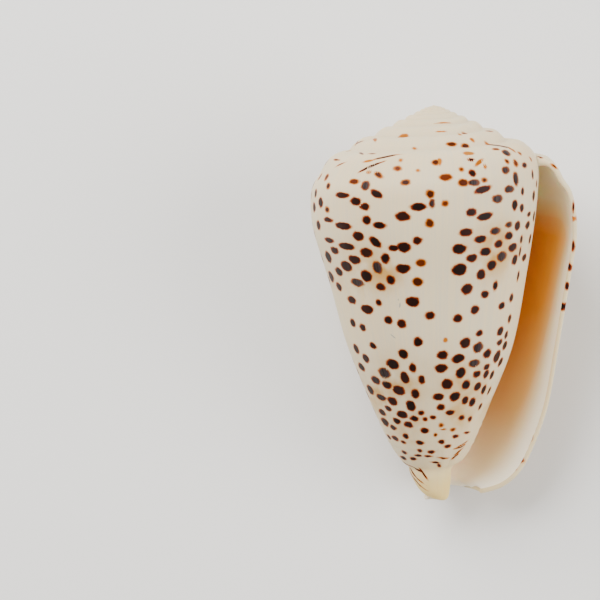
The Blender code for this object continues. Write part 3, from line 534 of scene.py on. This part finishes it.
        (2.9, 6, 0.27, 0.45, "dark"), (-7.8, 6, 0.27, 0.54, "dark"), (-8.4, 5.8, 0.41, 0.86, "dark"),
        (-5.1, 6, 0.95, 0.72, "dark"), (-3.5, 5.6, 1.08, 0.81, "dark"), (-2, 5.5, 0.63, 0.45, "red"),
        (3.1, 5.4, 0.23, 0.32, "red"), (-7.8, 5.2, 0.32, 0.77, "dark"), (-8.4, 5.1, 0.27, 0.63, "dark"),
        (1.3, 5.2, 0.59, 0.54, "red"), (-6.4, 5, 0.72, 0.54, "dark"), (3.3, 4.8, 0.27, 0.54, "dark"),
        (-4.5, 4.9, 0.77, 0.45, "dark"), (-1.4, 4.4, 0.68, 0.5, "dark"), (-0.7, 4.6, 0.36, 0.27, "red"),
        (1, 4.2, 0.59, 0.32, "red"), (-6.8, 3.8, 0.36, 0.5, "red"), (-6.4, 3.7, 0.41, 0.41, "dark"),
        (-7.5, 3.6, 0.36, 0.36, "dark"), (-3.7, 3.8, 0.86, 0.54, "dark"), (-1.6, 3.3, 0.86, 0.54, "dark"),
        (-4.7, 3.3, 0.59, 0.32, "red"), (0.3, 3.2, 0.63, 0.36, "red"), (1.5, 3, 0.59, 0.23, "red"),
        (-5.9, 2.7, 0.54, 0.36, "dark"), (-7.1, 2.8, 0.27, 0.36, "dark"), (-0.3, 2.4, 0.99, 0.32, "red"),
        (-2.1, 2.1, 0.99, 0.32, "red"), (-4.7, 2.5, 0.68, 0.32, "dark"), (-6.1, 2.4, 0.36, 0.27, "dark"),
        (-5.4, 2, 0.54, 0.23, "dark"), (-0.3, 1.9, 1.58, 0.18, "red", 8), (1.3, 1.6, 0.99, 0.18, "red", 10),
        (2.2, 2.5, 0.68, 0.16, "red", -10), (0, 1.1, 1.35, 0.18, "red", 5), (0.3, 0.6, 0.9, 0.18, "red", -40),
    ],
    # Orange glow round the clusters: (across, up, radius, strength).
    "frontGlow": [(-8.4, 30.0, 3.6, 0.7), (-5.6, 28.5, 3.0, 0.6), (7.2, 30.9, 4.2, 0.8), (9.5, 33.0, 3.0, 0.5),
                  (-4.6, 14.5, 4.2, 0.8), (4.0, 14.5, 4.0, 0.8), (-3.0, 9.0, 3.0, 0.5), (3.0, 10.5, 2.6, 0.5)],
    "backGlow": [(-7.2, 27.1, 3.6, 0.7), (3.0, 27.1, 3.4, 0.6), (10.6, 29.0, 3.0, 0.6), (-4.0, 10.7, 4.2, 0.9),
                 (2.8, 12.6, 3.2, 0.7), (8.0, 13.9, 3.0, 0.6), (-10.5, 22.0, 2.4, 0.3)],
    "sideGlow": [(7.2, 27.1, 3.6, 0.6), (-3.0, 27.1, 3.4, 0.6), (4.0, 10.7, 4.0, 0.8), (-2.8, 12.6, 3.2, 0.7)],
    "sideBearing": 18.0, "sideMiddle": (0.0, 25.2), "sideReach": 9.5, "sideTop": 37.0, "sideTurn": 75.0,
    "apart": 0.2, "facing": 0.02, "nearest": 0.02,      # side marks' gap; what faces and is near the viewer
    "leastLevel": 0.30, "leastRise": 0.36,              # these limit a mark's stretch round the edge
    "shiftLimit": 0.4, "depth": 1.5, "reach": 5.0,      # mm within which a mark moves and takes its faces
}
# The lip's outer side shows in neither view, so it takes the back's marks turned over, where there is room.
marks["side"] = [(-mark[0],) + mark[1:5] for mark in marks["back"]
                 if abs(mark[0]) < marks["sideReach"] and mark[1] < marks["sideTop"]]


# Orange of the aperture and yellow of the tip: turn angles, heights and radii (mm) between which they come in.
lining = {"fadeFrom": 4.0, "fadeTo": 28.0, "paleAbove": 32.5, "paleOver": 5.0, "atBase": 0.12,
          "fullAbove": 25.0, "tipTop": 6.75, "tipTopFade": 4.5, "tipRadius": 5.76, "tipRadiusFade": 3.6}


def viewFrame(bearing):
    tilt = math.radians(marks["viewTilt"])
    turned = math.radians(bearing)
    towards = np.array([math.cos(turned) * math.cos(tilt), math.sin(turned) * math.cos(tilt), math.sin(tilt)])
    right = np.array([-math.sin(turned), math.cos(turned), 0.0])
    return right, np.cross(towards, right), towards


def seenAt(places, view):              # where places appear across and up in a view, with its perspective
    right, up, towards = viewFrame(marks[view + "Bearing"])
    middle = marks[view + "Middle"]
    grown = marks["viewDistance"] / (marks["viewDistance"] - places @ towards)
    across = middle[0] + (places @ right - middle[0]) * grown
    height = middle[1] + (places @ up - middle[1]) * grown
    return across, height, grown


def layMarks(centres, normals, outside, view, closest, chosen, laid):
    right, up, towards = viewFrame(marks[view + "Bearing"])
    across, height, grown = seenAt(centres, view)
    facing = np.flatnonzero(outside & (normals @ towards > marks["facing"]))
    nearness = marks["nearest"] * (centres[facing] @ towards)
    for x, z, width, tall, kind, *slant in marks[view]:
        best = facing[np.argmin(np.hypot(across[facing] - x, height[facing] - z) - nearness)]
        out = normals[best]
        level = np.cross([0.0, 0.0, 1.0], out)
        level /= max(1e-6, np.linalg.norm(level))
        if level @ right < 0.0:
            level = -level
        rise = np.cross(out, level)
        if rise @ up < 0.0:
            rise = -rise
        miss = np.array([x - across[best], z - height[best]]) / grown[best]
        lean = np.array([[level @ right, rise @ right], [level @ up, rise @ up]])
        shift = np.linalg.lstsq(lean, miss, rcond=0.2)[0]
        shift = np.clip(shift, -marks["shiftLimit"], marks["shiftLimit"])
        centre = centres[best] + shift[0] * level + shift[1] * rise
        halfWidth = 0.5 * marks["grown"] * width / grown[best] / max(marks["leastLevel"], abs(level @ right))
        halfTall = 0.5 * marks["grown"] * tall / grown[best] / max(marks["leastRise"], abs(rise @ up))
        angle = math.radians(slant[0]) if slant else 0.0
        along = (level * math.cos(angle) + rise * math.sin(angle)) / halfWidth
        over = (rise * math.cos(angle) - level * math.sin(angle)) / halfTall
        delta = centres - centre
        near = np.flatnonzero(outside & (np.abs(delta @ out) < marks["depth"])
                              & (np.abs(delta).max(axis=1) < marks["reach"]))
        size = math.sqrt(halfWidth * halfTall)
        if view == "side":
            room = min(np.linalg.norm(centre - other[0]) - other[3] for other in laid)
            if room < size + marks["apart"]:
                continue
        reach = np.hypot(delta[near] @ along, delta[near] @ over)
        slope = np.hypot(delta[near] @ along / halfWidth, delta[near] @ over / halfTall)
        away = reach * (reach - 1.0) / np.maximum(slope, 1e-6)
        closer = near[away < closest[near]]
        closest[closer] = away[away < closest[near]]
        chosen[closer] = len(laid)
        laid.append((centre, along, over, size, kind))


def shade(first, second, share):       # between two sRGB hex colours, in linear light
    return [a + (b - a) * share for a, b in zip(linear(first), linear(second))]


def paintShell(mesh):                   # the marks' own coordinates on the faces, and how orange the inside is
    co = np.empty(len(mesh.vertices) * 3)
    mesh.vertices.foreach_get("co", co)
    co = co.reshape(-1, 3)
    corners = np.empty(len(mesh.loops), dtype=np.int32)
    mesh.loops.foreach_get("vertex_index", corners)
    corners = corners.reshape(-1, 3)
    sheetOf = np.empty(len(corners), dtype=np.int32)
    mesh.attributes["sheet"].data.foreach_get("value", sheetOf)
    turnOf = np.empty(len(co), dtype=np.float32)
    mesh.attributes["turn"].data.foreach_get("value", turnOf)
    turns = turnOf[corners]
    crossing = turns.max(axis=1) - turns.min(axis=1) > 180.0
    turns[crossing[:, None] & (turns < 180.0)] += 360.0

    centres = co[corners].mean(axis=1)
    normals = np.cross(co[corners[:, 1]] - co[corners[:, 0]], co[corners[:, 2]] - co[corners[:, 0]])
    normals /= np.maximum(np.linalg.norm(normals, axis=1, keepdims=True), 1e-9)
    outside = (sheetOf == sheets["ramp"]) | (sheetOf == sheets["side"]) | (sheetOf == sheets["lip"])
    closest = np.full(len(corners), 1.0)
    chosen = np.full(len(corners), -1)
    laid = []
    layMarks(centres, normals, outside & (sheetOf != sheets["lip"]), "back", closest, chosen, laid)
    layMarks(centres, normals, outside, "front", closest, chosen, laid)
    lipSide = (sheetOf == sheets["side"]) & (turns.max(axis=1) < marks["sideTurn"])
    layMarks(centres, normals, lipSide, "side", closest, chosen, laid)
    place = np.full((len(corners), 3, 3), 9.0)
    place[:, :, 2] = 0.0
    size = np.ones(len(corners))
    colour = np.ones((len(corners), 4))
    grey = np.zeros(len(corners))
    rim = np.zeros(len(corners))
    for number, (centre, along, over, mean, kind) in enumerate(laid):
        faces = np.flatnonzero(chosen == number)
        delta = co[corners[faces]] - centre
        place[faces, :, 0] = delta @ along
        place[faces, :, 1] = delta @ over
        size[faces] = mean
        look = marks["kinds"][kind]
        colour[faces] = shade(look[0], look[1], 0.5 + 0.5 * math.sin(number * 2.4))[:3] + [look[4]]
        grey[faces] = look[2]
        rim[faces] = look[3]

    glow = np.zeros(len(co))
    for view in ("front", "back", "side"):
        across, height = seenAt(co, view)[:2]
        facing = co @ viewFrame(marks[view + "Bearing"])[2] > 0.0
        for x, z, radius, strength in marks[view + "Glow"]:
            glow += facing * strength * np.exp(-2.0 * (np.hypot(across - x, height - z) / radius) ** 2)
    inner = (sheetOf == sheets["inside"]) | (sheetOf == sheets["core"])
    deep = np.clip((turnOf - lining["fadeFrom"]) / (lining["fadeTo"] - lining["fadeFrom"]), 0.0, 1.0)
    deep = deep * deep * (3.0 - 2.0 * deep)
    top = 1.0 - np.clip((co[:, 2] - lining["paleAbove"]) / lining["paleOver"], 0.0, 1.0)
    base = lining["atBase"] + (1.0 - lining["atBase"]) * np.clip(co[:, 2] / lining["fullAbove"], 0.0, 1.0)
    orange = deep * top * base
    fromAxis = np.hypot(co[:, 0], co[:, 1])
    tip = np.clip((lining["tipTop"] - co[:, 2]) / lining["tipTopFade"], 0.0, 1.0)
    tip *= np.clip((lining["tipRadius"] - fromAxis) / lining["tipRadiusFade"], 0.0, 1.0)
    mesh.attributes.remove(mesh.attributes["turn"])
    for name, kind, domain, key, values in (
            ("place", "FLOAT_VECTOR", "CORNER", "vector", place),
            ("turn", "FLOAT", "CORNER", "value", turns),
            ("markSize", "FLOAT", "FACE", "value", size),
            ("markColour", "FLOAT_COLOR", "FACE", "color", colour),
            ("markGrey", "FLOAT", "FACE", "value", grey),
            ("markRim", "FLOAT", "FACE", "value", rim),
            ("lining", "FLOAT", "FACE", "value", inner),
            ("glow", "FLOAT", "POINT", "value", np.clip(glow, 0.0, 1.0)),
            ("orange", "FLOAT", "POINT", "value", orange),
            ("tipTint", "FLOAT", "POINT", "value", tip),
            ("heightMm", "FLOAT", "POINT", "value", co[:, 2])):
        layer = mesh.attributes.new(name, kind, domain)
        layer.data.foreach_set(key, np.ascontiguousarray(values, dtype=np.float32).ravel())
    print("marks:", len(laid), "laid on", int((chosen >= 0).sum()), "faces")


def layDown(mesh):                      # into the resting pose, on the CAD solid's place
    matrix = (Matrix.Rotation(math.radians(coil["lean"]), 4, "X") @ Matrix.Rotation(math.radians(-90.0), 4, "X")
              @ Matrix.Rotation(math.radians(90.0 - coil["restBearing"]), 4, "Z") @ Matrix.Scale(mm, 4))
    mesh.transform(matrix)
    co = np.array([vert.co for vert in mesh.vertices])
    low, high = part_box("shell")
    middle = (co.min(0) + co.max(0)) / 2.0
    move = Vector(((low.x + high.x) / 2.0 - middle[0], (low.y + high.y) / 2.0 - middle[1],
                   low.z - co[:, 2].min()))
    mesh.transform(Matrix.Translation(move))
    return matrix, move


def linear(hexColour):                  # sRGB hex to linear RGBA
    parts = [int(hexColour[i:i + 2], 16) / 255.0 for i in (1, 3, 5)]
    return [c / 12.92 if c <= 0.04045 else ((c + 0.055) / 1.055) ** 2.4 for c in parts] + [1.0]


def addNode(tree, kind, inputs, output=0, **settings):      # inputs are values or other nodes' outputs
    node = tree.nodes.new("ShaderNode" + kind)
    for name, value in settings.items():
        setattr(node, name, value)
    for socket, source in inputs.items():
        if isinstance(source, bpy.types.NodeSocket):
            tree.links.new(source, node.inputs[socket])
        else:
            node.inputs[socket].default_value = source
    return node.outputs[output] if node.outputs else None


shellLook = {
    "cream": "#dccaa4", "creamCool": "#d5c6a8", "creamWarm": "#dec292", "glow": "#b8841c", "tip": "#e4c67c",
    "orangeDeep": "#f2b244", "orangePale": "#f3cc94", "liningPale": "#fbf0dc",
    "rimRed": "#7a2604", "rimOrange": "#b4620a", "halo": "#b46a0c", "greySide": "#30282c", "stripe": "#463c3a",
    "cloudScale": 60.0, "patchScale": 350.0, "raggedScale": 1400.0,       # features of 17, 3 and 0.7 mm
    "wobble": 0.09, "haloWidth": 0.26, "haloStrength": 0.80, "rimWidth": (-0.03, 0.11),      # mm
    "coreFrom": -0.16, "coreTo": 0.0, "greyFrom": -0.18, "greyTo": 0.30,                     # mm
    "roughness": 0.45, "specular": 0.08, "ior": 1.53,
    "subsurface": 0.35, "subsurfaceScale": 0.0025, "subsurfaceRadius": (1.0, 0.62, 0.36),
}


def shellMaterial():
    # Aragonite, laid down in thin sheets and polished: a satin, waxy gloss with growth lines and marks in it.
    material = bpy.data.materials.new("polished aragonite shell")
    material.use_nodes = True
    tree = material.node_tree
    tree.nodes.clear()
    colours = {name: linear(value) for name, value in shellLook.items() if isinstance(value, str)}
    coords = addNode(tree, "TexCoord", {}, "Object")
    names = ("glow", "orange", "tipTint", "lining", "turn", "heightMm", "markSize", "markGrey", "markRim")
    given = {name: addNode(tree, "Attribute", {}, "Fac", attribute_name=name) for name in names}

    # Growth lines run down the side, about 0.25 mm apart, so they are read along the turn angle.
    along = addNode(tree, "CombineXYZ", {"X": given["turn"], "Y": given["heightMm"]})
    wide = addNode(tree, "Mapping", {"Vector": along, "Scale": (0.9, 0.06, 1.0)})
    growthLines = addNode(tree, "TexNoise", {"Vector": wide, "Scale": 1.0, "Detail": 3.0}, "Fac")
    narrow = addNode(tree, "Mapping", {"Vector": along, "Scale": (1.6, 0.25, 1.0)})
    stripes = addNode(tree, "TexNoise", {"Vector": narrow, "Scale": 1.0, "Detail": 2.0}, "Fac")
    clouds, patches, ragged = (
        addNode(tree, "TexNoise", {"Vector": coords, "Scale": shellLook[name], "Detail": detail}, "Fac")
        for name, detail in (("cloudScale", 2.0), ("patchScale", 2.0), ("raggedScale", 3.0)))

    # Cream ground, warmer in soft clouds, round the clusters and at the tip.
    lines = addNode(tree, "MapRange", {"Value": growthLines, "From Min": 0.35, "From Max": 0.62})
    ground = addNode(tree, "Mix", {0: lines, 6: colours["creamCool"], 7: colours["cream"]}, 2, data_type="RGBA")
    clouds = addNode(tree, "MapRange", {"Value": clouds, "From Min": 0.42, "From Max": 0.75, "To Max": 0.6})
    ground = addNode(tree, "Mix", {0: clouds, 6: ground, 7: colours["creamWarm"]}, 2, data_type="RGBA")
    ground = addNode(tree, "Mix", {0: given["tipTint"], 6: ground, 7: colours["tip"]}, 2, data_type="RGBA")
    patches = addNode(tree, "MapRange", {"Value": patches, "From Min": 0.34, "From Max": 0.62, "To Max": 1.0})
    glow = addNode(tree, "Math", {0: patches, 1: given["glow"]}, operation="MULTIPLY")
    ground = addNode(tree, "Mix", {0: glow, 6: ground, 7: colours["glow"]}, 2, data_type="RGBA")

    # Distance outside each mark's edge, in mm, gives an orange halo, a red-brown rim and a nearly black middle.
    place = addNode(tree, "Attribute", {}, "Vector", attribute_name="place")
    reach = addNode(tree, "VectorMath", {0: place}, "Value", operation="LENGTH")
    reach = addNode(tree, "Math", {0: reach, 1: 1.0}, operation="SUBTRACT")
    wobble = addNode(tree, "MapRange", {"Value": ragged, "From Min": 0.3, "From Max": 0.7,
                                        "To Min": -shellLook["wobble"], "To Max": shellLook["wobble"]})
    edge = addNode(tree, "Math", {0: reach, 1: given["markSize"], 2: wobble}, operation="MULTIPLY_ADD")
    rimShows = addNode(tree, "Attribute", {}, "Alpha", attribute_name="markColour")
    halo = addNode(tree, "MapRange", {"Value": edge, "From Min": 0.0, "From Max": shellLook["haloWidth"],
                                      "To Min": shellLook["haloStrength"], "To Max": 0.0},
                   interpolation_type="SMOOTHSTEP")
    halo = addNode(tree, "Math", {0: halo, 1: rimShows}, operation="MULTIPLY")
    surface = addNode(tree, "Mix", {0: halo, 6: ground, 7: colours["halo"]}, 2, data_type="RGBA")
    within, beyond = shellLook["rimWidth"]
    rim = addNode(tree, "MapRange", {"Value": edge, "From Min": within, "From Max": beyond,
                                     "To Min": 1.0, "To Max": 0.0}, interpolation_type="SMOOTHSTEP")
    rim = addNode(tree, "Math", {0: rim, 1: rimShows}, operation="MULTIPLY")
    reddened = addNode(tree, "Mix", {0: given["markRim"], 6: colours["rimOrange"], 7: colours["rimRed"]}, 2,
                       data_type="RGBA")
    surface = addNode(tree, "Mix", {0: rim, 6: surface, 7: reddened}, 2, data_type="RGBA")

    # The far side of some marks fades to blue-grey, and is striped by the growth lines.
    toSide = addNode(tree, "SeparateXYZ", {0: place})
    toSide = addNode(tree, "MapRange", {"Value": toSide, "From Min": -0.35, "From Max": 0.75})
    toSide = addNode(tree, "Math", {0: toSide, 1: given["markGrey"]}, operation="MULTIPLY")
    middle = addNode(tree, "Attribute", {}, "Color", attribute_name="markColour")
    middle = addNode(tree, "Mix", {0: toSide, 6: middle, 7: colours["greySide"]}, 2, data_type="RGBA")
    stripes = addNode(tree, "MapRange", {"Value": stripes, "From Min": 0.46, "From Max": 0.60, "To Max": 0.55})
    stripes = addNode(tree, "Math", {0: stripes, 1: given["markGrey"]}, operation="MULTIPLY")
    middle = addNode(tree, "Mix", {0: stripes, 6: middle, 7: colours["stripe"]}, 2, data_type="RGBA")
    softer = addNode(tree, "Math", {0: toSide, 1: shellLook["greyTo"], 2: shellLook["coreTo"]},
                     operation="MULTIPLY_ADD")
    within = addNode(tree, "Math", {0: toSide, 1: shellLook["greyFrom"], 2: shellLook["coreFrom"]},
                     operation="MULTIPLY_ADD")
    core = addNode(tree, "MapRange", {"Value": edge, "From Min": within, "From Max": softer,
                                      "To Min": 1.0, "To Max": 0.0}, interpolation_type="SMOOTHSTEP")
    surface = addNode(tree, "Mix", {0: core, 6: surface, 7: middle}, 2, data_type="RGBA")

    # Inside, the glaze goes from cream at the lip to deep orange.
    pale = addNode(tree, "MapRange", {"Value": given["orange"], "From Max": 0.5})
    inner = addNode(tree, "Mix", {0: pale, 6: colours["liningPale"], 7: colours["orangePale"]}, 2,
                    data_type="RGBA")
    full = addNode(tree, "MapRange", {"Value": given["orange"], "From Min": 0.4, "From Max": 0.95})
    inner = addNode(tree, "Mix", {0: full, 6: inner, 7: colours["orangeDeep"]}, 2, data_type="RGBA")
    surface = addNode(tree, "Mix", {0: given["lining"], 6: surface, 7: inner}, 2, data_type="RGBA")

    bump = addNode(tree, "Bump", {"Height": growthLines, "Strength": 0.25, "Distance": 0.00005})
    bump = addNode(tree, "Bump", {"Height": ragged, "Normal": bump, "Strength": 0.12, "Distance": 0.00004})
    shader = addNode(tree, "BsdfPrincipled", {
        "Base Color": surface, "Normal": bump, "Roughness": shellLook["roughness"], "IOR": shellLook["ior"],
        "Specular IOR Level": shellLook["specular"],
        "Subsurface Weight": shellLook["subsurface"], "Subsurface Scale": shellLook["subsurfaceScale"],
        "Subsurface Radius": shellLook["subsurfaceRadius"]})
    addNode(tree, "OutputMaterial", {"Surface": shader})
    return material


def makeShell():
    bm = shellMesh()
    mesh = bpy.data.meshes.new("shell_skin")
    bm.to_mesh(mesh)
    bm.free()
    mesh.shade_smooth()
    paintShell(mesh)
    matrix, move = layDown(mesh)
    mesh.materials.append(shellMaterial())
    shell = bpy.data.objects.new("shell_skin", mesh)
    bpy.context.scene.collection.objects.link(shell)
    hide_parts("shell")
    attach(shell, "root")
    print("shell:", len(mesh.vertices), "points,", len(mesh.polygons), "triangles")
    return matrix, move


studio = {
    "floorColour": "#e6e4e0", "floorRoughness": 0.9, "floorSize": 1.6, "world": 0.60,
    "key": {"place": (-0.20, 0.22, 0.32), "size": 0.34, "power": 3.9},
    "fill": {"place": (0.36, -0.04, 0.24), "size": 0.34, "power": 2.4},
    "room": "#f4f2ee", "aim": (0.0, 0.0, 0.01), "lens": 135.0, "nearClip": 0.01,
    "viewTilt": 7.5, "apexPixel": (432.2, 105.8), "tipPixel": (437.2, 501.8), "frame": 600.0,
}


def makeStudio(matrix, move):
    bm = bmesh.new()
    bmesh.ops.create_grid(bm, x_segments=1, y_segments=1, size=studio["floorSize"] / 2.0)
    mesh = bpy.data.meshes.new("studio_floor")
    bm.to_mesh(mesh)
    bm.free()
    floor = bpy.data.objects.new("studio_floor", mesh)
    bpy.context.scene.collection.objects.link(floor)
    material = bpy.data.materials.new("matte paper floor")
    material.use_nodes = True
    surface = material.node_tree.nodes["Principled BSDF"]
    surface.inputs["Base Color"].default_value = linear(studio["floorColour"])
    surface.inputs["Roughness"].default_value = studio["floorRoughness"]
    mesh.materials.append(material)

    world = bpy.data.worlds.new("soft room")
    world.use_nodes = True
    world.node_tree.nodes["Background"].inputs["Color"].default_value = linear(studio["room"])
    world.node_tree.nodes["Background"].inputs["Strength"].default_value = studio["world"]
    bpy.context.scene.world = world

    for name in ("key", "fill"):
        data = bpy.data.lights.new(name + " light", "AREA")
        data.size = studio[name]["size"]
        data.energy = studio[name]["power"]
        light = bpy.data.objects.new(name + " light", data)
        light.location = studio[name]["place"]
        light.rotation_euler = (Vector(studio["aim"]) - light.location).to_track_quat("-Z", "Y").to_euler()
        bpy.context.scene.collection.objects.link(light)

    tilt = math.radians(studio["viewTilt"])
    turned = matrix.to_3x3().normalized()
    back = turned @ Vector((0.0, -math.cos(tilt), math.sin(tilt)))
    right = turned @ Vector((1.0, 0.0, 0.0))
    up = back.cross(right)
    apex = matrix @ Vector((0.0, 0.0, coil["apexHeight"])) + move
    tip = matrix @ Vector((0.0, 0.0, 0.0)) + move
    apexPixel = Vector(studio["apexPixel"])
    tipPixel = Vector(studio["tipPixel"])
    pixelSize = (apex - tip).dot(up) / (tipPixel.y - apexPixel.y)
    spin = math.atan2(tipPixel.x - apexPixel.x, tipPixel.y - apexPixel.y)      # it leans a little in the frame
    right, up = (right * math.cos(spin) - up * math.sin(spin), up * math.cos(spin) + right * math.sin(spin))
    centre = studio["frame"] / 2.0
    middle = (apex + tip) / 2.0
    offset = (apexPixel + tipPixel) / 2.0 - Vector((centre, centre))
    target = middle - right * offset.x * pixelSize + up * offset.y * pixelSize
    data = bpy.data.cameras.new("camera")
    data.lens = studio["lens"]
    distance = pixelSize * studio["frame"] * data.lens / data.sensor_width
    data.clip_start = studio["nearClip"]
    camera = bpy.data.objects.new("camera", data)
    camera.matrix_world = Matrix.Translation(target + back * distance) @ Matrix(
        (right, up, back)).transposed().to_4x4()
    bpy.context.scene.collection.objects.link(camera)
    bpy.context.scene.camera = camera
    print("camera:", round(distance, 3), "m from the shell")


matrix, move = makeShell()
makeStudio(matrix, move)
